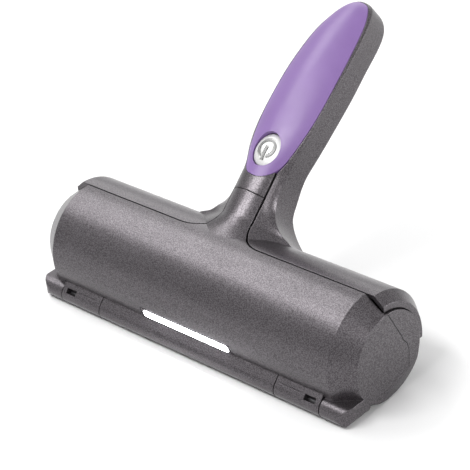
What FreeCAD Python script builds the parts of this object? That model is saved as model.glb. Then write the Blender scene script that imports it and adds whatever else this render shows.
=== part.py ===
import FreeCAD, Part
import math
import os
from FreeCAD import Vector as V

# Roller-type pet hair brush. Millimetres, +Z up, X along the head, the front is -Y.
# Sections are drawn about the head's own axis. At the end everything is lifted by AXIS_Z and
# moved by FRAME_Y, which puts the middle of the whole brush's depth at y = 0.

# Head
HEAD_HALF = 95.0       # middle of the head to an end face
BEVEL_HALF = 84.8      # middle of the head to the start of an end bevel
HEAD_R = 28.7          # outer radius of the lid and of the rear shell
END_R = 21.3           # radius of the round end faces
AXIS_Z = 21.7          # height of the head's axis above the surface it stands on
FRAME_Y = -42.41
WALL = 2.2             # wall of the lid and of the rear shell
GAP = 0.3              # clearance between pieces
SEAM_GAP = 0.8         # open seam between the lid and the rear shell
SEAM_Y = -0.65         # the lid's top edge, just in front of the head's top
SKIRT_Z = -3.5         # lower edge of the rear shell
SHELL_HALF = 93.8      # middle of the head to the rear shell's ends
SHELL_BEVEL = 89.0     # middle of the head to the start of the rear shell's end bevel
SHELL_END_R = 24.6     # radius of the rear shell's ends

# Hinge bar along the bottom front edge
BAR_Y, BAR_Z = -25.93, -16.48
BAR_R = 4.82
LOBE_X = 80.3          # split between the lid's lobe and the knuckle
KNUCKLE_X = 54.6       # split between the knuckle and the middle of the bar
SPLIT = 0.25           # half of the gap at each split
LOBE_CORNER = 6.5      # radius of a lobe's front corner in plan
BEAM_Y = -23.0         # flat face the bar pieces sit against
FACET_TURN = 137.6     # the bar's flat facet leaves its round at this angle
FACET = 4.5            # width of the facet
LID_CLEAR = 7.2        # the lid's lower edge runs at this radius round the bar's axis
PIN_R = 1.5

# Handle, drawn along its own axis (s) and square to its front face (n)
LEAN = 38.7            # degrees above level
TONGUE_S = 42.0        # seam between the lid's tongue and the neck plate
TONGUE_HALF = 8.7
SEAM_CORNER = 14.8     # radius where the seam turns from the head up the neck
BUTTON_S = 63.0
BUTTON_HALF_X = 6.8
BUTTON_HALF_S = 8.2
GRIP_THICK = 2.4
REST = 0.06            # play under the neck plate and under the grip
# s, half width, crown, front at two thirds of the half width, front edge, back
HANDLE = [
    (14, 33.0, 24.4, 20.0, 14.0, -20.5),
    (17, 33.0, 23.2, 18.5, 12.0, -20.0),
    (20, 33.0, 21.8, 16.0, 10.0, -19.3),
    (23, 33.0, 20.95, 13.8, 8.6, -18.4),
    (25.5, 30.5, 20.6, 12.4, 8.2, -17.6),
    (28, 27.5, 20.5, 11.6, 8.4, -17.0),
    (30, 22.6, 20.4, 12.6, 9.2, -16.6),
    (33, 18.4, 20.5, 14.6, 10.9, -14.0),
    (37, 14.8, 20.7, 16.4, 11.3, -10.4),
    (42, 12.6, 21.1, 17.9, 11.7, -6.4),
    (48, 11.9, 21.5, 18.8, 13.0, -4.6),
    (54, 12.1, 21.9, 19.2, 13.6, -2.4),
    (60, 13.4, 22.4, 19.8, 15.6, 0.6),
    (66, 14.4, 22.7, 20.2, 16.9, 1.6),
    (78, 15.5, 23.0, 20.6, 17.6, 1.9),
    (92, 15.7, 22.9, 20.5, 17.6, 1.4),
    (105, 15.6, 22.2, 19.9, 17.0, 0.8),
    (117, 14.9, 20.8, 18.6, 15.7, 0.2),
    (129, 13.2, 18.6, 16.7, 14.0, -2.0),
    (137, 10.9, 16.3, 14.6, 12.2, -4.0),
    (142, 8.8, 14.4, 13.0, 10.8, -4.4),
    (146, 5.6, 11.8, 10.8, 8.8, -2.6),
    (147.4, 2.6, 9.8, 9.2, 8.0, 2.6),
]

# Drum
DRUM_Y, DRUM_Z = -2.0, -6.4
DRUM_R = 14.9
NAP = 1.9
DRUM_HALF = 76.0
CHEEK_IN, CHEEK_OUT = 77.0, 80.0
AXLE_R = 3.0
ROCK = 30.0            # the drum rocks this far either way

# Lamp in the middle of the bar
LENS_HALF = 26.6
LENS_R = 2.1
LENS_TURN = 15.2       # the lens sits this many degrees below level on the head's round
HOUSING_HALF = 27.6
HOUSING_R = 11.9       # the housing's top round the bar's axis

X, Y, Z = V(1, 0, 0), V(0, 1, 0), V(0, 0, 1)
h_dir = V(0, math.cos(math.radians(LEAN)), math.sin(math.radians(LEAN)))
n_dir = V(0, -math.sin(math.radians(LEAN)), math.cos(math.radians(LEAN)))


def sn(x, s, n):
    """A point of the handle: across, along, out of its front."""
    return X * x + h_dir * s + n_dir * n


def prism_x(points, x0, x1):
    """A YZ outline drawn out along X."""
    wire = Part.makePolygon([V(x0, y, z) for y, z in points + points[:1]])
    return Part.Face(wire).extrude(V(x1 - x0, 0, 0))


def prism_n(points, n0, n1):
    """An outline in the handle's x and s, drawn out along n."""
    wire = Part.makePolygon([sn(x, s, n0) for x, s in points + points[:1]])
    return Part.Face(wire).extrude(n_dir * (n1 - n0))


def block(x0, x1, y0, y1, z0, z1):
    return Part.makeBox(x1 - x0, y1 - y0, z1 - z0, V(x0, y0, z0))


def block_sn(x0, x1, s0, s1, n0, n1):
    return prism_n([(x0, s0), (x1, s0), (x1, s1), (x0, s1)], n0, n1)


def rod_x(r, x0, x1, y=0.0, z=0.0):
    return Part.makeCylinder(r, x1 - x0, V(x0, y, z), X)


def rod_n(r, s, n0, n1, x=0.0):
    return Part.makeCylinder(r, n1 - n0, sn(x, s, n0), n_dir)


def turned_x(points):
    """A closed (x, r) outline turned round the head's axis."""
    wire = Part.makePolygon([V(x, 0, r) for x, r in points + points[:1]])
    return Part.Face(wire).revolve(V(0, 0, 0), X, 360)


def fuse(shapes):
    out = shapes[0].multiFuse(shapes[1:]) if len(shapes) > 1 else shapes[0]
    return out.removeSplitter()


def both_sides(shape):
    return [shape, shape.mirror(V(0, 0, 0), X)]


def handle_loft(inset=0.0, drop=0.0):
    """The handle's outer form. inset narrows it, drop lowers its front."""
    wires = []
    for s, a, crown, mid, edge, back in HANDLE:
        a, back = a - inset, back + inset
        crown, mid, edge = crown - drop, mid - drop, edge - drop
        r = min(2.0, 0.4 * a, 0.45 * (edge - back))
        low = 0.97 * a
        k = r * (1 - math.sqrt(0.5))
        p = [sn(-a, s, edge), sn(-low, s, back + r), sn(-low + r, s, back),
             sn(low - r, s, back), sn(low, s, back + r), sn(a, s, edge)]
        front = Part.BSplineCurve()
        front.interpolate([p[5], sn(0.68 * a, s, mid), sn(0, s, crown), sn(-0.68 * a, s, mid), p[0]])
        edges = [
            Part.LineSegment(p[0], p[1]).toShape(),
            Part.Arc(p[1], sn(-low + k, s, back + k), p[2]).toShape(),
            Part.LineSegment(p[2], p[3]).toShape(),
            Part.Arc(p[3], sn(low - k, s, back + k), p[4]).toShape(),
            Part.LineSegment(p[4], p[5]).toShape(),
            front.toShape(),
        ]
        wires.append(Part.Wire(edges))
    return Part.makeLoft(wires, True, False)


def grip_outline(inset=0.0):
    """The grip's outline in x and s: pointed oval, narrower at the button."""
    half = [(50.4, 4.3), (52.3, 6.9), (54.7, 8.8), (57.4, 10.2), (60.6, 11.4), (64.0, 12.3),
            (70.2, 13.5), (76.0, 14.3), (81.3, 14.8), (89.4, 15.1), (100.7, 15.0), (109.0, 14.6),
            (116.8, 13.9), (128.7, 12.2), (138.1, 9.4), (142.6, 7.1), (145.6, 4.2)]
    pts = [V(0, 49.4 + inset, 0)] + [V(x - inset, s, 0) for s, x in half] + [V(0, 146.7 - inset, 0)]
    pts += [V(-p.x, p.y, 0) for p in reversed(pts[1:-1])]
    curve = Part.BSplineCurve()
    curve.interpolate(pts, PeriodicFlag=True)
    edge = curve.toShape()
    edge.transformShape(frame_sn())
    return Part.Wire([edge])


def frame_sn():
    """Turns a plan drawn as (x, s, n) into head coordinates."""
    m = FreeCAD.Matrix()
    m.A11, m.A12, m.A13 = 1, 0, 0
    m.A21, m.A22, m.A23 = 0, h_dir.y, n_dir.y
    m.A31, m.A32, m.A33 = 0, h_dir.z, n_dir.z
    return m


# Outer and inner forms
slope = (HEAD_R - END_R) / (HEAD_HALF - BEVEL_HALF)
radial = WALL / math.cos(math.atan(slope))
head_outer = turned_x([(-HEAD_HALF, 0), (-HEAD_HALF, END_R), (-BEVEL_HALF, HEAD_R),
                       (BEVEL_HALF, HEAD_R), (HEAD_HALF, END_R), (HEAD_HALF, 0)])
inner_end = HEAD_HALF - 2.5
inner_end_r = HEAD_R - radial - slope * (inner_end - BEVEL_HALF)
bev = BEVEL_HALF - (radial - WALL) / slope
head_inner = turned_x([(-inner_end, 0), (-inner_end, inner_end_r), (-bev, HEAD_R - WALL),
                       (bev, HEAD_R - WALL), (inner_end, inner_end_r), (inner_end, 0)])
shell_slope = (HEAD_R - SHELL_END_R) / (SHELL_HALF - SHELL_BEVEL)
shell_radial = WALL / math.cos(math.atan(shell_slope))
shell_in = SHELL_BEVEL - (shell_radial - WALL) / shell_slope
shell_in_r = HEAD_R - shell_radial - shell_slope * (HEAD_HALF - SHELL_BEVEL)
shell_outer = turned_x([(-SHELL_HALF, 0), (-SHELL_HALF, SHELL_END_R), (-SHELL_BEVEL, HEAD_R),
                        (SHELL_BEVEL, HEAD_R), (SHELL_HALF, SHELL_END_R), (SHELL_HALF, 0)])
shell_inner = turned_x([(-HEAD_HALF, 0), (-HEAD_HALF, shell_in_r), (-shell_in, HEAD_R - WALL),
                        (shell_in, HEAD_R - WALL), (HEAD_HALF, shell_in_r), (HEAD_HALF, 0)])
handle = handle_loft()
outer = head_outer.fuse(handle).removeSplitter()
rear_outer = shell_outer.fuse(handle).removeSplitter()

# Where the lid ends on the end faces: from the top seam down to the foot of the lobe
END_LINE = [(1.0, 20.8), (8.9, 5.8), (10.0, 3.0), (12.4, 0.2), (13.4, -4.4), (12.6, -12.4),
            (6.6, -14.4), (1.1, -15.6), (-4.8, -18.0), (-11.0, -18.5), (-16.0, -20.2),
            (-21.0, -21.4)]
END_LINE_BACK = [(y + 0.28, z + 0.05) for y, z in END_LINE[:6]] + [
    (y + 0.1, z - 0.3) for y, z in END_LINE[6:]]

bar_hole = rod_x(LID_CLEAR, -LOBE_X - SPLIT, LOBE_X + SPLIT, BAR_Y, BAR_Z)
lens_room = rod_x(HOUSING_R + 0.4, -HOUSING_HALF - 0.4, HOUSING_HALF + 0.4, BAR_Y, BAR_Z)


# Lid: front shell, tongue up the neck, end walls and the two lobes, one moulding
def seam_plan(grow, z0, z1):
    """In plan, everything in front of the seam, with the tongue behind it."""
    r = SEAM_CORNER - grow
    corner = []
    for i in range(13):
        a = math.radians(270 - 7.5 * i)
        corner.append((TONGUE_HALF + SEAM_CORNER + r * math.cos(a),
                       SEAM_Y + SEAM_CORNER + r * math.sin(a)))
    pts = [(HEAD_HALF + 5, -60), (HEAD_HALF + 5, SEAM_Y + grow)] + corner
    pts += [(TONGUE_HALF + grow, 34.0)]
    pts += [(-x, y) for x, y in reversed(pts)]
    wire = Part.makePolygon([V(x, y, z0) for x, y in pts + pts[:1]])
    return Part.Face(wire).extrude(V(0, 0, z1 - z0))


end_slab = [block(inner_end, HEAD_HALF + 1, -60, 60, -60, 60),
            block(-HEAD_HALF - 1, -inner_end, -60, 60, -60, 60)]


def lobe():
    """Round bar out to the end face, with the foot that runs back along the end."""
    x0, x1, y0, y1 = LOBE_X + SPLIT, HEAD_HALF, BAR_Y - BAR_R, BAR_Y + 12.0
    z0, z1, r, b = BAR_Z - BAR_R, BAR_Z + BAR_R, LOBE_CORNER, 4.4
    k = 1 - math.sqrt(0.5)
    plan = Part.Face(Part.Wire([
        Part.makeLine(V(x0, y1, z0), V(x1, y1, z0)), Part.makeLine(V(x1, y1, z0), V(x1, y0 + r, z0)),
        Part.Arc(V(x1, y0 + r, z0), V(x1 - k * r, y0 + k * r, z0), V(x1 - r, y0, z0)).toShape(),
        Part.makeLine(V(x1 - r, y0, z0), V(x0, y0, z0)), Part.makeLine(V(x0, y0, z0), V(x0, y1, z0))
    ])).extrude(V(0, 0, z1 - z0))
    side = Part.Face(Part.Wire([
        Part.makeLine(V(x0, y0, z1), V(x1, y0, z1)), Part.makeLine(V(x1, y0, z1), V(x1, y0, z0 + b)),
        Part.Arc(V(x1, y0, z0 + b), V(x1 - k * b, y0, z0 + k * b), V(x1 - b, y0, z0)).toShape(),
        Part.makeLine(V(x1 - b, y0, z0), V(x0, y0, z0)), Part.makeLine(V(x0, y0, z0), V(x0, y0, z1))
    ])).extrude(V(0, y1 - y0, 0))
    foot = block(x0 + 4.8, x1, BAR_Y, y1, z0, z1)
    return fuse([rod_x(BAR_R, x0, x1, BAR_Y, BAR_Z), foot]).common(plan).common(side)


end_region = prism_x([(-60, 60), (SEAM_Y, 60), (SEAM_Y, 21.5)] + END_LINE + [(-60, -21.4)],
                     -HEAD_HALF - 1, HEAD_HALF + 1)
low_front = prism_x([(-60, 60), (SEAM_Y, 60), (SEAM_Y, 2), (-20, -14.5), (-60, -14.5)],
                    -HEAD_HALF - 1, HEAD_HALF + 1)
front_region = seam_plan(0, 2, 70).fuse(low_front)
tongue_stop = prism_n([(-40, TONGUE_S), (40, TONGUE_S), (40, 200), (-40, 200)], -30, 60)
under_tongue = handle_loft(-1.0, WALL)
skin = outer.cut(fuse([head_inner, under_tongue.common(prism_n(
    [(-30, 14), (30, 14), (30, 160), (-30, 160)], -30, 60))]))
lid = skin.common(front_region).cut(tongue_stop)
lid = max(lid.Solids, key=lambda s: s.Volume)
end_walls = [head_outer.common(slab).common(end_region) for slab in end_slab]
lobes = [s.common(end_region) for s in both_sides(lobe())]
catch = block_sn(-5, 5, 35.6, 39.0, 12.4, 19.2).cut(block_sn(-4.3, 4.3, 37.6, 40, 13.8, 15.8))
lid = fuse([lid] + end_walls + lobes + [catch])
pin_bores = both_sides(rod_x(PIN_R + 0.05, LOBE_X - 1, LOBE_X + 6.5, BAR_Y, BAR_Z))
lid = lid.cut(fuse([bar_hole, lens_room] + pin_bores))

# Rear shell: the back of the head's top and the handle, one moulding
rear_region = prism_x([(SEAM_Y, 200), (200, 200), (200, SKIRT_Z), (SEAM_Y, SKIRT_Z)],
                      -HEAD_HALF, HEAD_HALF)
end_room = [rod_x(END_R + GAP, 87.0, 96.0), rod_x(END_R + GAP, -96.0, -87.0)]
cavity = prism_n([(-7.4, 34), (7.4, 34), (7.4, 56.5), (9.2, 60.5), (9.2, 118), (7.4, 127), (4.5, 132),
                  (-4.5, 132), (-7.4, 127), (-9.2, 118), (-9.2, 60.5), (-7.4, 56.5)], 5.8, 30)
tongue_room = seam_plan(SEAM_GAP, 2, 70).common(prism_n([
    (-100, -40), (100, -40), (100, TONGUE_S + GAP), (-100, TONGUE_S + GAP)], -30, 60))
above_tongue = rear_outer.cut(handle_loft(-1.0, WALL + GAP))
near_head = rod_x(HEAD_R + 0.1, -HEAD_HALF, HEAD_HALF)
rear_shell = rear_outer.cut(shell_inner).common(rear_region)
rear_shell = rear_shell.cut(above_tongue.common(tongue_room))
rear_shell = rear_shell.cut(near_head.common(tongue_room))
grip_room = handle.common(Part.Face(grip_outline()).extrude(n_dir * 45)).cut(
    handle_loft(-1.0, GRIP_THICK))
plate_floor = handle_loft(-1.0, GRIP_THICK + WALL)
PLATE = [(TONGUE_HALF, TONGUE_S + GAP), (TONGUE_HALF, 54.7), (9.7, 57.5), (10.9, 61), (11.6, 66),
         (11.6, 112), (9.8, 127), (6.5, 136)]


def plate_prism(grow, start):
    half = [(x + grow, s) for x, s in PLATE]
    half = [(half[0][0], half[0][1] - start)] + half[1:-1] + [(half[-1][0], half[-1][1] + grow)]
    return prism_n([(-x, s) for x, s in half] + [(x, s) for x, s in reversed(half)], 0, 45)


rear_shell = rear_shell.cut(grip_room)
rear_shell = rear_shell.cut(rear_outer.common(plate_prism(SEAM_GAP, 0.3)).cut(plate_floor))
rear_shell = rear_shell.cut(fuse([cavity] + end_room))
rear_shell = max(rear_shell.Solids, key=lambda s: s.Volume)

# Lip of the rear shell that reaches under the lid's edge
lips = []
for x0, x1 in ((26.0, 84.0), (-84.0, -26.0)):
    tube = rod_x(HEAD_R - 2.5, x0, x1).cut(rod_x(HEAD_R - 3.7, x0 - 1, x1 + 1))
    root = rod_x(HEAD_R - 2.1, x0, x1).cut(rod_x(HEAD_R - 3.7, x0 - 1, x1 + 1))
    lips.append(tube.common(block(x0, x1, SEAM_Y - 2.2, SEAM_Y + 2.5, 20, 30)))
    lips.append(root.common(block(x0, x1, SEAM_Y + SEAM_GAP, SEAM_Y + 2.5, 20, 30)))
SCREWS = [(x, 24.45) for x in (-68.0, -24.0, 24.0, 68.0)]
bosses = [Part.makeCylinder(2.6, 11.5, V(x, y, SKIRT_Z), Z) for x, y in SCREWS]
rails = [block_sn(x, x + 2.4, 46, 54.5, 5.6, 9.6) for x in (-7.8, 5.4)]
SPRING_S = 82.0
spring_stop = [block_sn(-9.4, 9.4, SPRING_S, SPRING_S + 2, 5.6, 15.0),
               Part.makeCylinder(1.2, 4.1, sn(0, SPRING_S - 4.0, 10.9), h_dir)]
rear_shell = fuse([rear_shell] + [b.common(rear_outer) for b in bosses] + lips + rails + spring_stop)
rear_shell = rear_shell.cut(fuse([Part.makeCylinder(1.0, 9, V(x, y, SKIRT_Z), Z)
                                  for x, y in SCREWS]))

def oval_n(half_x, half_s, n0, n1):
    """An upright oval round the button's middle, drawn out along n."""
    edge = Part.Ellipse(V(0, 0, 0), half_s, half_x).toShape()
    edge.rotate(V(0, 0, 0), Z, 90)
    edge.translate(V(0, BUTTON_S, n0))
    edge.transformShape(frame_sn())
    return Part.Face(Part.Wire([edge])).extrude(n_dir * (n1 - n0))


# Neck plate: closes the handle's front; the grip sits on it
button_hole = oval_n(BUTTON_HALF_X + GAP, BUTTON_HALF_S + GAP, 10, 30)
plate = outer.common(plate_prism(0, 0)).cut(handle_loft(-1.0, GRIP_THICK + WALL - REST)).cut(grip_room)
neck_plate = max(plate.cut(button_hole).Solids, key=lambda s: s.Volume)
grip = handle.common(Part.Face(grip_outline(GAP)).extrude(n_dir * 45)).cut(
    handle_loft(-1.0, GRIP_THICK - REST)).cut(button_hole)
grip = max(grip.Solids, key=lambda s: s.Volume)


# Button with a power sign, a flange behind the plate and a wedge on its stem
def rn(r, n):
    return sn(r, BUTTON_S, n)


TOP_N = 21.9
rim = [rn(0, 14.6), rn(BUTTON_HALF_S + 0.8, 14.6), rn(BUTTON_HALF_S + 0.8, 15.9), rn(BUTTON_HALF_S, 15.9),
       rn(BUTTON_HALF_S, TOP_N - 1.7), rn(BUTTON_HALF_S - 0.4, TOP_N - 1.3)]
edges = [Part.LineSegment(p, q).toShape() for p, q in zip(rim, rim[1:])]
edges.append(Part.Arc(rim[-1], rn(4.2, TOP_N - 0.37), rn(0, TOP_N)).toShape())
edges.append(Part.LineSegment(rn(0, TOP_N), rim[0]).toShape())
round_form = Part.Face(Part.Wire(edges)).revolve(sn(0, BUTTON_S, 0), n_dir, 360)
narrow = FreeCAD.Matrix()
narrow.A11 = BUTTON_HALF_X / BUTTON_HALF_S
button_form = round_form.transformGeometry(narrow)


def sign(r_in, r_out, bar_half, s_top, s_low, gap_half):
    """The power sign's ring and bar, standing through the button's face."""
    ring = rod_n(r_out, BUTTON_S + 0.4, 19, 24).cut(rod_n(r_in, BUTTON_S + 0.4, 18, 25))
    if gap_half:
        ring = ring.cut(block_sn(-gap_half, gap_half, BUTTON_S - 6.5, BUTTON_S - 2.0, 18, 25))
    return fuse([ring, block_sn(-bar_half, bar_half, BUTTON_S - s_top, BUTTON_S + s_low, 19, 24)])


lowered, raised = button_form.copy(), button_form.copy()
lowered.translate(n_dir * -0.4)
raised.translate(n_dir * 0.05)
groove = sign(3.1, 5.1, 1.05, 5.8, 1.7, 0).cut(lowered)
mark = sign(3.65, 4.55, 0.5, 5.4, 1.2, 1.5).common(raised)
stem = Part.Face(Part.makePolygon([sn(-2, BUTTON_S + s, n) for s, n in (
    (-2.5, 14.7), (2.7, 14.7), (2.7, 13.5), (0.2, 11.0), (-2.5, 11.0), (-2.5, 14.7))])).extrude(X * 4)
button = fuse([button_form.cut(groove), mark, stem])

# Latch slider: its nose holds the lid's catch, the stem's wedge pushes it up the handle
LATCH_N = 9.9
latch = block_sn(-7, 7, 48, 74, LATCH_N, LATCH_N + 2)
latch = latch.cut(block_sn(-2.6, 2.6, BUTTON_S - 5.5, BUTTON_S + 2.2, LATCH_N - 1, LATCH_N + 3))
ramp = Part.Face(Part.makePolygon([sn(-2.6, BUTTON_S + s, n) for s, n in (
    (4.4, 11.9), (1.52, 11.9), (-0.48, 9.9), (4.4, 9.9), (4.4, 11.9))])).extrude(X * 5.2)
post = block_sn(-4, 4, 48, 51.2, LATCH_N + 1, 15.0)
nose = block_sn(-4, 4, 38.3, 51.2, 14.1, 15.4)
latch = fuse([latch, ramp, post, nose])


def coil(r, wire_r, length, turns):
    """A closed-wound spring wire as a sweep round +Z."""
    path = Part.makeHelix((length - 2 * wire_r) / turns, length - 2 * wire_r, r)
    path.translate(V(0, 0, wire_r))
    section = Part.makePolygon([V(r + wire_r * math.cos(a), 0, wire_r + wire_r * math.sin(a))
                                for a in [math.radians(60 * i) for i in range(6)] + [0]])
    return Part.Wire(path.Edges).makePipeShell([section], True, True)


latch_spring = coil(1.8, 0.3, 5.6, 5)
latch_spring.rotate(V(0, 0, 0), X, -(90 - LEAN))
latch_spring.translate(sn(0, SPRING_S - 5.6, 10.9))

# Switch board and cell in the handle
board_n = 5.8
switch_board = block_sn(-7.1, 7.1, 55, 78, board_n, board_n + 1.2)
switch_can = fuse([block_sn(-3, 3, BUTTON_S - 4.0, BUTTON_S + 2.0, board_n + 1.2, board_n + 2.4),
                   rod_n(1.6, BUTTON_S - 1.0, board_n + 2.4, board_n + 2.8)])
cell = Part.makeCylinder(5.0, 31.0, sn(0, 85, board_n + 5.0), h_dir).fuse(
    Part.makeCylinder(1.9, 1.2, sn(0, 116, board_n + 5.0), h_dir))

# Base frame: cheeks, rear wall, rear lip, front beam, and the rear crescents of the end faces
def base_form(inset, x0, x1):
    """Round end form with the fuller lower back."""
    return fuse([rod_x(END_R - inset, x0, x1), rod_x(16.2 - inset, x0, x1, 4.0, -5.0)])


span = HEAD_HALF
wall_arc = base_form(0, -span, span).cut(base_form(2.4, -span - 1, span + 1))
rear_wall = wall_arc.common(prism_x([(0, 0), (40, 26), (40, -44)], -span, span))
crescents = [base_form(0, -span, span).common(slab).cut(prism_x(
    [(-60, 60), (SEAM_Y + 0.28, 60), (SEAM_Y + 0.28, 21.5)] + END_LINE_BACK + [(-60, -22)],
    -HEAD_HALF - 1, HEAD_HALF + 1)) for slab in end_slab]

# Shallow facet that the end faces fall back by, below a chord
CHORD = ((19.2, -7.8), (-9.6, -18.4))
chord = V(0, CHORD[1][0] - CHORD[0][0], CHORD[1][1] - CHORD[0][1]).normalize()
away = V(0, -chord.z, chord.y)
facet = Part.Face(Part.makePolygon([
    X * x + V(0, *CHORD[0]) - chord * 12 + away * d for x, d in (
        (95.0, 0), (94.8, 3.0), (94.3, 5.5), (93.6, 8.2), (93.0, 12), (97, 12), (97, 0), (95.0, 0))
])).extrude(chord * 56)
bevel_cut = both_sides(facet)
cheek_disc = fuse([rod_x(END_R - 0.4, CHEEK_IN, CHEEK_OUT), rod_x(END_R - 0.4, -CHEEK_OUT, -CHEEK_IN)])
cheek_web = prism_x([(BEAM_Y, -21.3), (BEAM_Y, -12.9), (-14, -9), (0, -12), (14, -14), (16.4, -21.3)],
                    -CHEEK_OUT, CHEEK_OUT).common(
    fuse([block(CHEEK_IN, CHEEK_OUT, -40, 40, -30, 0), block(-CHEEK_OUT, -CHEEK_IN, -40, 40, -30, 0)]))
beam = prism_x([(BEAM_Y, -21.3), (BEAM_Y, -11.4), (-21.6, -11.4), (-15.6, -17.4), (-13.9, -21.3)],
               -CHEEK_OUT, CHEEK_OUT)
rear_lip = prism_x([(11.4, -21.3), (10.9, -18.2), (12.6, -15.2), (15.4, -13.0), (17.4, -21.3)],
                   -CHEEK_OUT, CHEEK_OUT)
shelf = prism_x([(20.0, SKIRT_Z), (28.2, SKIRT_Z), (28.0, SKIRT_Z - 1.0), (25.6, SKIRT_Z - 2.0),
                 (19.4, SKIRT_Z - 2.0)], -83.0, 83.0)
base = fuse([rear_wall] + crescents + [cheek_disc, cheek_web, beam, rear_lip, shelf])
bush_holes = [rod_x(4.6, CHEEK_IN - 1, CHEEK_OUT + 1, DRUM_Y, DRUM_Z),
              rod_x(4.6, -CHEEK_OUT - 1, -CHEEK_IN + 1, DRUM_Y, DRUM_Z)]


def rock_slot(x0, x1):
    """Curved slot above each axle that stops the drum's lug."""
    r, w = 9.0, 1.75
    half = ROCK
    ring = rod_x(r + w, x0, x1, DRUM_Y, DRUM_Z).cut(rod_x(r - w, x0 - 1, x1 + 1, DRUM_Y, DRUM_Z))
    a0, a1 = math.radians(90 - half), math.radians(90 + half)
    fan = prism_x([(DRUM_Y, DRUM_Z), (DRUM_Y + 40 * math.cos(a0), DRUM_Z + 40 * math.sin(a0)),
                   (DRUM_Y + 40 * math.cos(a1), DRUM_Z + 40 * math.sin(a1))], x0, x1)
    ends = [rod_x(w, x0, x1, DRUM_Y + r * math.cos(a), DRUM_Z + r * math.sin(a)) for a in (a0, a1)]
    return fuse([ring.common(fan)] + ends)


slots = [rock_slot(CHEEK_IN - 0.1, CHEEK_IN + 2.2), rock_slot(-CHEEK_IN - 2.2, -CHEEK_IN + 0.1)]
screw_ways = [Part.makeCylinder(1.25, 4, V(x, y, SKIRT_Z - 3), Z) for x, y in SCREWS]
strip_front = prism_x([(-20.4, -AXIS_Z), (-20.4, -20.2), (-14.9, -20.2), (-14.9, -AXIS_Z)], -75.5, 75.5)
strip_rear = prism_x([(11.9, -AXIS_Z), (11.9, -20.2), (16.6, -20.2), (16.6, -AXIS_Z)], -75.5, 75.5)
base = base.cut(fuse(bush_holes + slots + screw_ways + bevel_cut + [strip_front, strip_rear]))
base_frame = max(base.Solids, key=lambda s: s.Volume)

# Bar: middle length with the lamp's housing, and two slotted knuckles
turn = math.radians(FACET_TURN)
facet_low = (BAR_Y + BAR_R * math.cos(turn), BAR_Z + BAR_R * math.sin(turn))
facet_top = (facet_low[0] + FACET * math.sin(turn), facet_low[1] - FACET * math.cos(turn))


def bar_length(x0, x1):
    """Round bar with a flat facet on its upper front, flat behind."""
    upper = prism_x([(BAR_Y, BAR_Z), facet_low, facet_top, (-24.0, facet_top[1]),
                     (BEAM_Y, facet_top[1] - 1.0), (BEAM_Y, BAR_Z)], x0, x1)
    return fuse([rod_x(BAR_R, x0, x1, BAR_Y, BAR_Z).common(block(x0, x1, -60, BEAM_Y, -60, 60)), upper])


def level_pill(half, r, y0, y1):
    """A bar with round ends standing out of the head's front at level height."""
    tip = half - r
    body = fuse([block(-tip, tip, y0, y1, -r, r)] +
                [Part.makeCylinder(r, y1 - y0, V(x, y0, 0), Y) for x in (-tip, tip)])
    return body


def lowered_front(shape):
    shape.rotate(V(0, 0, 0), X, LENS_TURN)
    return shape


housing = rod_x(HOUSING_R, -HOUSING_HALF, HOUSING_HALF, BAR_Y, BAR_Z).common(
    rod_x(HEAD_R, -HOUSING_HALF, HOUSING_HALF)).common(block(-30, 30, -40, -24.6, -17, 0))
lens = level_pill(LENS_HALF, LENS_R, -HEAD_R - 0.3, -HEAD_R + 1.2)
lens = lens.makeFillet(0.7, [e for e in lens.Edges if abs(e.CenterOfMass.y + HEAD_R + 0.3) < 0.01])
lens = lowered_front(lens)
lens_seat = lowered_front(level_pill(LENS_HALF + 0.05, LENS_R + 0.05, -HEAD_R - 2, -HEAD_R + 1.2))
lamp_pocket = lowered_front(block(-25, 25, -HEAD_R + 1.1, -HEAD_R + 2.6, -1.2, 1.2))
bar_middle = fuse([bar_length(-KNUCKLE_X + SPLIT, KNUCKLE_X - SPLIT), housing]).cut(
    fuse([lens_seat, lamp_pocket]))
lamp_board = lowered_front(block(-24.5, 24.5, -HEAD_R + 2.0, -HEAD_R + 2.6, -1.1, 1.1))
lamps = lowered_front(fuse([block(x - 0.9, x + 0.9, -HEAD_R + 1.4, -HEAD_R + 2.0, -0.7, 0.7)
                            for x in (-20, -12, -4, 4, 12, 20)]))

knuckle = bar_length(KNUCKLE_X + SPLIT, LOBE_X - SPLIT)
pocket = prism_x([(BAR_Y, BAR_Z)] + [(BAR_Y + 12 * math.cos(math.radians(a)),
                                      BAR_Z + 12 * math.sin(math.radians(a)))
                                     for a in (118, 150)], 71.3, 77.6)
line = block(KNUCKLE_X + 2.4, 70.0, 1.35, 1.65, BAR_R - 0.4, BAR_R + 2)
line.rotate(V(0, 0, 0), X, FACET_TURN - 90)
line.translate(V(0, BAR_Y, BAR_Z))
knuckle = knuckle.cut(fuse([pocket, line, rod_x(PIN_R, 69, 82, BAR_Y, BAR_Z)]))
hinge_pin = rod_x(PIN_R, 69.0, LOBE_X + 6.0, BAR_Y, BAR_Z)

# Drum with two nap half sleeves on it, running in two bushes
core = rod_x(DRUM_R - NAP, -DRUM_HALF, DRUM_HALF, DRUM_Y, DRUM_Z)
keep = fuse([block(-DRUM_HALF, DRUM_HALF, DRUM_Y - 30, DRUM_Y + 30, DRUM_Z - 0.9, DRUM_Z + 0.9)])
ribs = rod_x(DRUM_R - 0.7, -DRUM_HALF, DRUM_HALF, DRUM_Y, DRUM_Z).common(keep)
axles = [rod_x(AXLE_R, DRUM_HALF, CHEEK_OUT - 0.2, DRUM_Y, DRUM_Z),
         rod_x(AXLE_R, -CHEEK_OUT + 0.2, -DRUM_HALF, DRUM_Y, DRUM_Z)]
lugs = both_sides(rod_x(1.6, DRUM_HALF, CHEEK_IN + 1.9, DRUM_Y, DRUM_Z + 9.0))
drum = fuse([core, ribs] + axles + lugs).cut(rod_x(5.0, -60, 60, DRUM_Y, DRUM_Z))
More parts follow.
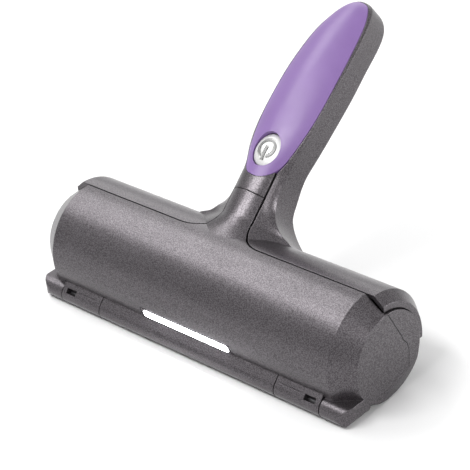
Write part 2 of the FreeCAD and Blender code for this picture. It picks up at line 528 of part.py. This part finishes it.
sleeve = rod_x(DRUM_R, -DRUM_HALF + 0.5, DRUM_HALF - 0.5, DRUM_Y, DRUM_Z).cut(
    rod_x(DRUM_R - NAP, -DRUM_HALF, DRUM_HALF, DRUM_Y, DRUM_Z))
nap_lower = sleeve.common(block(-80, 80, -40, 40, -40, DRUM_Z - 1.0))
nap_upper = sleeve.common(block(-80, 80, -40, 40, DRUM_Z + 1.0, 40))
bush = rod_x(4.6, CHEEK_IN, CHEEK_OUT, DRUM_Y, DRUM_Z).cut(
    rod_x(AXLE_R + 0.05, CHEEK_IN - 1, CHEEK_OUT + 1, DRUM_Y, DRUM_Z))

screw_list = []
for x, y in SCREWS:
    shank = Part.makeCylinder(1.0, 10.0, V(x, y, SKIRT_Z - 2.0), Z)
    head = Part.makeCylinder(2.1, 1.2, V(x, y, SKIRT_Z - 3.2), Z)
    cross = fuse([block(x - 1.2, x + 1.2, y - 0.25, y + 0.25, SKIRT_Z - 3.3, SKIRT_Z - 2.6),
                  block(x - 0.25, x + 0.25, y - 1.2, y + 1.2, SKIRT_Z - 3.3, SKIRT_Z - 2.6)])
    screw_list.append(fuse([shank, head]).cut(cross))

nodes = {
    "rear_shell": rear_shell, "lid": lid, "neck_plate": neck_plate, "grip": grip,
    "button": button, "latch": latch, "latch_spring": latch_spring,
    "switch_board": switch_board, "switch_can": switch_can, "cell": cell,
    "base_frame": base_frame, "bar_middle": bar_middle, "lens": lens,
    "lamp_board": lamp_board, "lamps": lamps,
    "knuckle_right": knuckle, "knuckle_left": knuckle.mirror(V(0, 0, 0), X),
    "hinge_pin_right": hinge_pin, "hinge_pin_left": hinge_pin.mirror(V(0, 0, 0), X),
    "drum": drum, "nap_lower": nap_lower, "nap_upper": nap_upper,
    "bush_right": bush, "bush_left": bush.mirror(V(0, 0, 0), X),
    "strip_front": strip_front, "strip_rear": strip_rear,
}
for i, s in enumerate(screw_list):
    nodes["screw_%d" % (i + 1)] = s

os.makedirs("parts", exist_ok=True)
box = Part.makeCompound(list(nodes.values())).optimalBoundingBox()
print("middle of the depth", round((box.YMin + box.YMax) / 2, 3))
for name, shape in nodes.items():
    shape.translate(V(0, FRAME_Y, AXIS_Z))
    if len(shape.Solids) == 1:
        shape = shape.Solids[0]
    b = shape.BoundBox
    print("%-16s solids %d valid %s vol %8.0f  x %.1f..%.1f y %.1f..%.1f z %.1f..%.1f" % (
        name, len(shape.Solids), shape.isValid(), shape.Volume,
        b.XMin, b.XMax, b.YMin, b.YMax, b.ZMin, b.ZMax))
    shape.exportStep("parts/%s.step" % name)
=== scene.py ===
import math
import random

import bmesh
import bpy
from mathutils import Matrix, Vector


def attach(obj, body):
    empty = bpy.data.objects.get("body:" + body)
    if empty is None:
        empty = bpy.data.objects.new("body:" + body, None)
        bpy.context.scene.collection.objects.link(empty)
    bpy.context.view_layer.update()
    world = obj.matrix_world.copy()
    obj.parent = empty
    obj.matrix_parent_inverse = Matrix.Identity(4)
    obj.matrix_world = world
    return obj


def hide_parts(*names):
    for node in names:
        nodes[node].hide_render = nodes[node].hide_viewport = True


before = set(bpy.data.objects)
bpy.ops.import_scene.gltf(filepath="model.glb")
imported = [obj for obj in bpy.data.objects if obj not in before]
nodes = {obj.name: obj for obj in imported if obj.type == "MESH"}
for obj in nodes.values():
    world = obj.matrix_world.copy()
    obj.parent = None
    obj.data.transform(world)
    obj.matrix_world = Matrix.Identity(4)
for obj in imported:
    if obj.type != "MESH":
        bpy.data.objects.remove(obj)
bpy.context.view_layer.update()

scene = bpy.context.scene

MM = 0.001
HEAD_Y, HEAD_Z = -42.41, 21.7                      # the head's axis, mm
DRUM_Y, DRUM_Z = HEAD_Y - 2.0, HEAD_Z - 6.4        # the drum's axis, mm


# Shader parts
def new_material(name):
    """A material, its node tree, its Principled shader and an Object coordinate socket."""
    made = bpy.data.materials.new(name)
    made.use_nodes = True
    tree = made.node_tree
    shader = tree.nodes["Principled BSDF"]
    place = tree.nodes.new("ShaderNodeTexCoord").outputs["Object"]
    return made, tree, shader, place


def noise(tree, place, scale, detail=2.0):
    """scale: about as many spots in a metre."""
    node = tree.nodes.new("ShaderNodeTexNoise")
    node.inputs["Scale"].default_value = scale
    node.inputs["Detail"].default_value = detail
    tree.links.new(place, node.inputs["Vector"])
    return node.outputs["Fac"]


def ramp(tree, value, stops):
    """stops: [(position, (r, g, b)), ...] in linear colour."""
    node = tree.nodes.new("ShaderNodeValToRGB")
    band = node.color_ramp
    while len(band.elements) < len(stops):
        band.elements.new(0.5)
    for element, (position, colour) in zip(band.elements, stops):
        element.position = position
        element.color = (*colour, 1.0)
    tree.links.new(value, node.inputs["Fac"])
    return node.outputs["Color"]


def spread(tree, value, low, high):
    """A noise's usual range, 0.25 to 0.75, brought to low..high."""
    node = tree.nodes.new("ShaderNodeMapRange")
    node.inputs["From Min"].default_value = 0.25
    node.inputs["From Max"].default_value = 0.75
    node.inputs["To Min"].default_value = low
    node.inputs["To Max"].default_value = high
    tree.links.new(value, node.inputs["Value"])
    return node.outputs["Result"]


def math_node(tree, operation, *values):
    """One Math node; a value is a number or a socket."""
    node = tree.nodes.new("ShaderNodeMath")
    node.operation = operation
    for socket, value in zip(node.inputs, values):
        if isinstance(value, (int, float)):
            socket.default_value = value
        else:
            tree.links.new(value, socket)
    return node.outputs[0]


def bump(tree, shader, height, strength, distance, edge=0.0):
    """Fine relief; edge is the radius by which sharp edges look rounded, in metres."""
    node = tree.nodes.new("ShaderNodeBump")
    if edge:
        soft = tree.nodes.new("ShaderNodeBevel")
        soft.samples = 6
        soft.inputs["Radius"].default_value = edge
        tree.links.new(soft.outputs["Normal"], node.inputs["Normal"])
    node.inputs["Strength"].default_value = strength
    node.inputs["Distance"].default_value = distance
    tree.links.new(height, node.inputs["Height"])
    tree.links.new(node.outputs["Normal"], shader.inputs["Normal"])


def seen_rays(tree):
    """1 for the rays that show the background: camera, glossy and transmission."""
    rays = tree.nodes.new("ShaderNodeLightPath").outputs
    shown = math_node(tree, "MAXIMUM", rays["Is Camera Ray"], rays["Is Glossy Ray"])
    return math_node(tree, "MAXIMUM", shown, rays["Is Transmission Ray"])


# Materials
def lacquer(name, dark, light, flake, metallic, roughness, edge=0.0, depth=0.00006):
    """Satin lacquer or plain metal: colour between dark and light, in a grain of tenths of a millimetre."""
    made, tree, shader, place = new_material(name)
    grain = noise(tree, place, flake, 0.0)
    tree.links.new(ramp(tree, grain, [(0.34, dark), (0.66, light)]), shader.inputs["Base Color"])
    dullness = spread(tree, noise(tree, place, 60, 3.0), roughness - 0.03, roughness + 0.04)
    tree.links.new(dullness, shader.inputs["Roughness"])
    shader.inputs["Metallic"].default_value = metallic
    shader.inputs["Coat Weight"].default_value = 0.2
    shader.inputs["Coat Roughness"].default_value = 0.25
    bump(tree, shader, grain, 0.1, depth, edge)
    return made


def plastic(name, colour, roughness, grain=1400, strength=0.15, shade=0.85):
    """Moulded plastic: a faint mottle in the colour and a fine spark-eroded grain."""
    made, tree, shader, place = new_material(name)
    dull = tuple(c * shade for c in colour)
    mottle = ramp(tree, noise(tree, place, 90, 3.0), [(0.35, dull), (0.65, colour)])
    tree.links.new(mottle, shader.inputs["Base Color"])
    dullness = spread(tree, noise(tree, place, 140), roughness - 0.04, roughness + 0.05)
    tree.links.new(dullness, shader.inputs["Roughness"])
    bump(tree, shader, noise(tree, place, grain), strength, 0.00008)
    return made


def velvet():
    """Dark nap: each tuft a little lighter or darker than the next, with a soft sheen."""
    made, tree, shader, place = new_material("velvet_pile")
    tufts = [(0.36, (0.036, 0.030, 0.040)), (0.64, (0.128, 0.114, 0.136))]
    tree.links.new(ramp(tree, noise(tree, place, 620), tufts), shader.inputs["Base Color"])
    shader.inputs["Roughness"].default_value = 0.9
    shader.inputs["Sheen Weight"].default_value = 0.5
    shader.inputs["Sheen Roughness"].default_value = 0.4
    bump(tree, shader, noise(tree, place, 2600), 0.4, 0.00008)
    return made


# The power sign on the button, in metres on the handle's sloping front
LEAN = math.radians(38.7)                  # the handle's rise above level
BUTTON_ALONG = 0.063                       # the button's middle, up the handle from the head's axis
RING_UP = 0.0004                           # the ring's middle above the button's
RING_R, RING_HALF = 0.0041, 0.00046        # the ring's middle radius and half its width
GAP_HALF, GAP_TOP = 0.0015, -0.0020        # the ring's opening, at the lower side
BAR_HALF = 0.00051
BAR_ALONG, BAR_REACH = -0.0021, 0.0033     # the bar's middle and half its length
SILVER, PRINT = 0.64, -0.41                # tone of the face, and what the sign takes off
FLECK = 0.12                               # the flake's share in the tone


def button_silver():
    """Silver lacquer; the power sign's ring and bar are a darker grey on their raised tops."""
    made, tree, shader, place = new_material("silver_lacquer")
    apart = tree.nodes.new("ShaderNodeSeparateXYZ")
    tree.links.new(place, apart.inputs[0])
    across, depth, height = apart.outputs
    back = math_node(tree, "MULTIPLY", math_node(tree, "SUBTRACT", depth, HEAD_Y * MM), math.cos(LEAN))
    rise = math_node(tree, "MULTIPLY", math_node(tree, "SUBTRACT", height, HEAD_Z * MM), math.sin(LEAN))
    along = math_node(tree, "SUBTRACT", math_node(tree, "ADD", back, rise), BUTTON_ALONG)
    wide = math_node(tree, "ABSOLUTE", across)

    off = math_node(tree, "SUBTRACT", along, RING_UP)
    squares = [math_node(tree, "MULTIPLY", part, part) for part in (across, off)]
    reach = math_node(tree, "SQRT", math_node(tree, "ADD", *squares))
    in_ring = math_node(tree, "COMPARE", reach, RING_R, RING_HALF)
    gap = math_node(tree, "MULTIPLY", math_node(tree, "LESS_THAN", wide, GAP_HALF),
                    math_node(tree, "LESS_THAN", along, GAP_TOP))
    ring = math_node(tree, "MULTIPLY", in_ring, math_node(tree, "SUBTRACT", 1.0, gap))
    bar = math_node(tree, "MULTIPLY", math_node(tree, "LESS_THAN", wide, BAR_HALF),
                    math_node(tree, "COMPARE", along, BAR_ALONG, BAR_REACH))
    printed = math_node(tree, "MAXIMUM", ring, bar)

    fleck = math_node(tree, "MULTIPLY_ADD", noise(tree, place, 3200, 0.0), FLECK, -FLECK / 2)
    tone = math_node(tree, "MULTIPLY_ADD", printed, PRINT, math_node(tree, "ADD", fleck, SILVER))
    greys = [(0.0, (0.0, 0.0, 0.0)), (1.0, (1.0, 1.0, 0.985))]
    tree.links.new(ramp(tree, tone, greys), shader.inputs["Base Color"])
    tree.links.new(spread(tree, noise(tree, place, 60, 3.0), 0.38, 0.46), shader.inputs["Roughness"])
    shader.inputs["Metallic"].default_value = 0.35
    bump(tree, shader, noise(tree, place, 3200, 1.0), 0.08, 0.00004, 0.0002)
    return made


def glowing(name, colour, strength):
    """A frosted window or a lamp that is lit."""
    made, tree, shader, place = new_material(name)
    faint = tuple(c * 0.93 for c in colour)
    glow = ramp(tree, noise(tree, place, 300), [(0.3, faint), (0.7, colour)])
    tree.links.new(glow, shader.inputs["Emission Color"])
    shader.inputs["Emission Strength"].default_value = strength
    shader.inputs["Base Color"].default_value = (*colour, 1.0)
    shader.inputs["Roughness"].default_value = 0.3
    return made


EDGE = 0.0005                              # the body's edges look rounded by this radius
BODY_DARK, BODY_LIGHT = (0.050, 0.0437, 0.0490), (0.124, 0.1137, 0.1226)
body = lacquer("gunmetal_lacquer", BODY_DARK, BODY_LIGHT, 2300, 0.78, 0.33, EDGE, 0.00003)
grip_skin = plastic("soft_grip", (0.225, 0.131, 0.350), 0.36, 2200, 0.08, 0.95)
dark = plastic("dark_moulding", (0.030, 0.030, 0.032), 0.45)
nylon = plastic("nylon", (0.62, 0.61, 0.56), 0.4)
steel = lacquer("zinc_steel", (0.42, 0.42, 0.43), (0.60, 0.60, 0.61), 5000, 1.0, 0.28)
# The hinge pins' steel is far darker than bare steel: painted shade, so that the pins read as the dark
# inside of their slots.
slot_shade_steel = lacquer("hinge_steel_painted_shade", (0.045, 0.045, 0.048), (0.070, 0.070, 0.074), 5000, 0.6, 0.45)
screw_steel = lacquer("blackened_steel", (0.075, 0.075, 0.078), (0.12, 0.12, 0.124), 5000, 0.8, 0.38)
board = plastic("solder_mask", (0.020, 0.120, 0.050), 0.3)
sleeve = plastic("cell_sleeve", (0.050, 0.090, 0.250), 0.3)
pile = velvet()
silver = button_silver()
lens = glowing("lit_lens", (0.97, 0.98, 1.0), 12.0)
lamp = glowing("lit_lamp", (1.0, 0.98, 0.90), 2.0)

COATS = {
    body: ["rear_shell", "lid", "neck_plate", "base_frame",
           "bar_middle", "knuckle_right", "knuckle_left"],
    grip_skin: ["grip"],
    silver: ["button"],
    dark: ["latch", "switch_can", "drum"],
    slot_shade_steel: ["hinge_pin_right", "hinge_pin_left"],
    screw_steel: ["screw_1", "screw_2", "screw_3", "screw_4"],
    steel: ["latch_spring"],
    board: ["switch_board", "lamp_board"],
    sleeve: ["cell"],
    nylon: ["bush_right", "bush_left"],
    pile: ["nap_lower", "nap_upper", "strip_front", "strip_rear"],
    lens: ["lens"],
    lamp: ["lamps"],
}
for coat, names in COATS.items():
    for name in names:
        mesh = nodes[name].data
        mesh.materials.clear()
        mesh.materials.append(coat)


# Pile: a thin backing with rows of short tufts that all lean one way, in mm
NAP_IN, NAP_BACK, NAP_OUT = 13.0, 13.6, 14.9       # radii: inside, top of the backing, tips
NAP_HALF = 75.5                                    # the head's middle to an end of the pile
RIB_HALF = 4.5                                     # half of the rib between two sleeves, degrees
GROOVE_Z = -20.2                                   # ceiling of a lip's groove below the head's axis
FIRST_X, FIRST_V = 0.6, 0.35                       # the first tuft, in from the pile's edges
SPARE_X, SPARE_V = 1.0, 0.5                        # length and width that the tufts leave free
STRAY_X, STRAY_V = 0.15, 0.12                      # a tuft stands this far off its place at most
THIN, THICK = 0.24, 0.34                           # half the width of a tuft
SHORTER = 0.25                                     # a tuft is shorter than the tip by this at most
STEEPEST = 0.7                                     # least share of the lean that a tuft has
DEEP = 1.6                                         # a tuft's depth over half its width
TIP_X = 0.2                                        # its tip is this far to one side at most
SINK = 0.05                                        # a tuft starts this far inside its backing


def tufted(name, place, across, width, back, tip, lean, step, body_name, replaced, seed):
    """place(x, v, h) is a point; v runs across the pile from 0 to width, h out of its backing."""
    rng = random.Random(seed)
    points, faces = [], []
    for i in range(across + 1):
        v = width * i / across
        points += [place(-NAP_HALF, v, 0), place(-NAP_HALF, v, back),
                   place(NAP_HALF, v, back), place(NAP_HALF, v, 0)]
    for i in range(across):
        a, b = 4 * i, 4 * i + 4
        faces += [(a + j, a + (j + 1) % 4, b + (j + 1) % 4, b + j) for j in range(4)]
    faces += [(0, 3, 2, 1), tuple(4 * across + j for j in range(4))]
    rows = int((width - lean - SPARE_V) / step)
    columns = int((2 * NAP_HALF - SPARE_X) / step)
    for i in range(rows):
        for j in range(columns):
            x = -NAP_HALF + FIRST_X + (j + 0.5 * (i % 2)) * step + rng.uniform(-STRAY_X, STRAY_X)
            v = FIRST_V + i * step + rng.uniform(-STRAY_V, STRAY_V)
            r = rng.uniform(THIN, THICK)
            high = tip - rng.uniform(0.0, SHORTER)
            away = lean * rng.uniform(STEEPEST, 1.0)
            n = len(points)
            points += [place(x - r, v, back - SINK), place(x + r, v, back - SINK),
                       place(x, v + DEEP * r, back - SINK),
                       place(x + rng.uniform(-TIP_X, TIP_X), v + away, high)]
            faces += [(n, n + 1, n + 3), (n + 1, n + 2, n + 3), (n + 2, n, n + 3)]
    mesh = bpy.data.meshes.new(name)
    mesh.from_pydata([tuple(c * MM for c in p) for p in points], [], faces)
    fix = bmesh.new()
    fix.from_mesh(mesh)
    bmesh.ops.recalc_face_normals(fix, faces=fix.faces)
    fix.to_mesh(mesh)
    fix.free()
    mesh.materials.append(pile)
    piece = bpy.data.objects.new(name, mesh)
    scene.collection.objects.link(piece)
    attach(piece, body_name)
    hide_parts(replaced)


def round_place(start, sign):
    """v runs round the drum from the angle start, in degrees, one way or the other."""
    def place(x, v, h):
        a = math.radians(start) + sign * v / NAP_BACK
        r = NAP_IN + h
        return (x, DRUM_Y + r * math.cos(a), DRUM_Z + r * math.sin(a))
    return place


def flat_place(start, sign):
    """v runs across a lip's groove from y = start; the pile points down."""
    def place(x, v, h):
        return (x, HEAD_Y + start + sign * v, HEAD_Z + GROOVE_Z - h)
    return place


half_round = math.radians(180 - 2 * RIB_HALF) * NAP_BACK
SLEEVE = {"across": 30, "width": half_round, "back": NAP_BACK - NAP_IN, "tip": NAP_OUT - NAP_IN,
          "lean": 1.1, "step": 0.85, "body_name": "drum"}
STRIP = {"across": 1, "back": 0.5, "tip": 1.5, "lean": 0.7, "step": 0.8, "body_name": "body"}
tufted("pile_lower", round_place(180 + RIB_HALF, 1), replaced="nap_lower", seed=3, **SLEEVE)
tufted("pile_upper", round_place(180 - RIB_HALF, -1), replaced="nap_upper", seed=4, **SLEEVE)
tufted("pile_front", flat_place(-20.4, 1), width=5.5, replaced="strip_front", seed=5, **STRIP)
tufted("pile_rear", flat_place(16.6, -1), width=4.7, replaced="strip_rear", seed=6, **STRIP)


# Studio
FLOOR_R = 6.0
FADE = 0.45, 1.1                           # the floor turns white between these reaches, in metres


def floor():
    """A pale floor that keeps the shadow near the brush and fades to the white background."""
    mesh = bpy.data.meshes.new("floor")
    form = bmesh.new()
    bmesh.ops.create_circle(form, cap_ends=True, segments=64, radius=FLOOR_R)
    form.to_mesh(mesh)
    form.free()
    plane = bpy.data.objects.new("floor", mesh)
    scene.collection.objects.link(plane)
    made, tree, shader, place = new_material("floor")
    shader.inputs["Base Color"].default_value = (0.92, 0.92, 0.92, 1.0)
    shader.inputs["Roughness"].default_value = 0.6
    reach = tree.nodes.new("ShaderNodeVectorMath")
    reach.operation = "LENGTH"
    tree.links.new(place, reach.inputs[0])
    far = tree.nodes.new("ShaderNodeMapRange")
    far.inputs["From Min"].default_value, far.inputs["From Max"].default_value = FADE
    tree.links.new(reach.outputs["Value"], far.inputs["Value"])
    white = tree.nodes.new("ShaderNodeEmission")
    blend = tree.nodes.new("ShaderNodeMixShader")
    share = math_node(tree, "MULTIPLY", far.outputs["Result"], seen_rays(tree))
    tree.links.new(share, blend.inputs["Fac"])
    tree.links.new(shader.outputs["BSDF"], blend.inputs[1])
    tree.links.new(white.outputs["Emission"], blend.inputs[2])
    tree.links.new(blend.outputs["Shader"], tree.nodes["Material Output"].inputs["Surface"])
    mesh.materials.append(made)


def softbox(name, place, aim, size, power):
    light = bpy.data.lights.new(name, "AREA")
    light.shape = "RECTANGLE"
    light.size, light.size_y = size
    light.energy = power
    box = bpy.data.objects.new(name, light)
    box.location = place
    box.rotation_mode = "QUATERNION"
    box.rotation_quaternion = (Vector(aim) - Vector(place)).to_track_quat("-Z", "Y")
    scene.collection.objects.link(box)


# name, place, the point it faces, width and height in metres, watts
SOFTBOXES = [
    ("key", (-1.04, -0.02, 1.34), (0, 0, 0.05), (1.35, 0.5), 11.5),
    ("front", (-0.26, -0.87, 1.40), (0, 0, 0.07), (1.05, 0.4), 17),
    ("right", (1.35, -0.35, 0.85), (0, 0, 0.05), (0.6, 0.7), 6),
    ("side", (1.25, 0.95, 0.18), (0, 0, 0.05), (0.9, 0.3), 11),
    ("back", (-0.75, 1.25, 0.85), (0, 0, 0.06), (1.3, 0.8), 6),
]
SKY_LIGHT, SKY_SEEN = 0.32, 0.8            # strength as a lamp, and as the background

floor()
for settings in SOFTBOXES:
    softbox(*settings)

world = bpy.data.worlds.new("studio")
world.use_nodes = True
scene.world = world
sky_tree = world.node_tree
sky = sky_tree.nodes["Background"]
sky.inputs["Color"].default_value = (1.0, 1.0, 1.0, 1.0)
sky.inputs["Strength"].default_value = SKY_LIGHT
backdrop = sky_tree.nodes.new("ShaderNodeBackground")
backdrop.inputs["Color"].default_value = (1.0, 1.0, 1.0, 1.0)
backdrop.inputs["Strength"].default_value = SKY_SEEN
mix = sky_tree.nodes.new("ShaderNodeMixShader")
sky_tree.links.new(seen_rays(sky_tree), mix.inputs["Fac"])
sky_tree.links.new(sky.outputs["Background"], mix.inputs[1])
sky_tree.links.new(backdrop.outputs["Background"], mix.inputs[2])
sky_tree.links.new(mix.outputs["Shader"], sky_tree.nodes["World Output"].inputs["Surface"])

# Camera, fitted to the photo
FOCAL_PX = 1870.0
FRAME_PX = 470.0
SENSOR_MM = 36.0
EYE = Vector((0.52114, -0.53968, 0.47574))
RIGHT = Vector((0.7303, 0.6761, -0.0978))
UP = Vector((-0.3034, 0.4493, 0.8403))
BACK = Vector((0.6120, -0.5840, 0.5332))
OFF_X, OFF_Y = 9.74, 54.11                 # the view turns by this many pixels, so it needs no shift

forward = (RIGHT * (OFF_X / FOCAL_PX) + UP * (OFF_Y / FOCAL_PX) - BACK).normalized()
right = forward.cross(UP).normalized()
up = right.cross(forward)
camera = bpy.data.cameras.new("camera")
camera.sensor_width = SENSOR_MM
camera.lens = FOCAL_PX * SENSOR_MM / FRAME_PX
camera.clip_start = 0.01
eye = bpy.data.objects.new("camera", camera)
turn = Matrix((right, up, -forward)).transposed()
eye.matrix_world = Matrix.Translation(EYE) @ turn.to_4x4()
scene.collection.objects.link(eye)
scene.camera = eye

scene.view_settings.view_transform = "Standard"
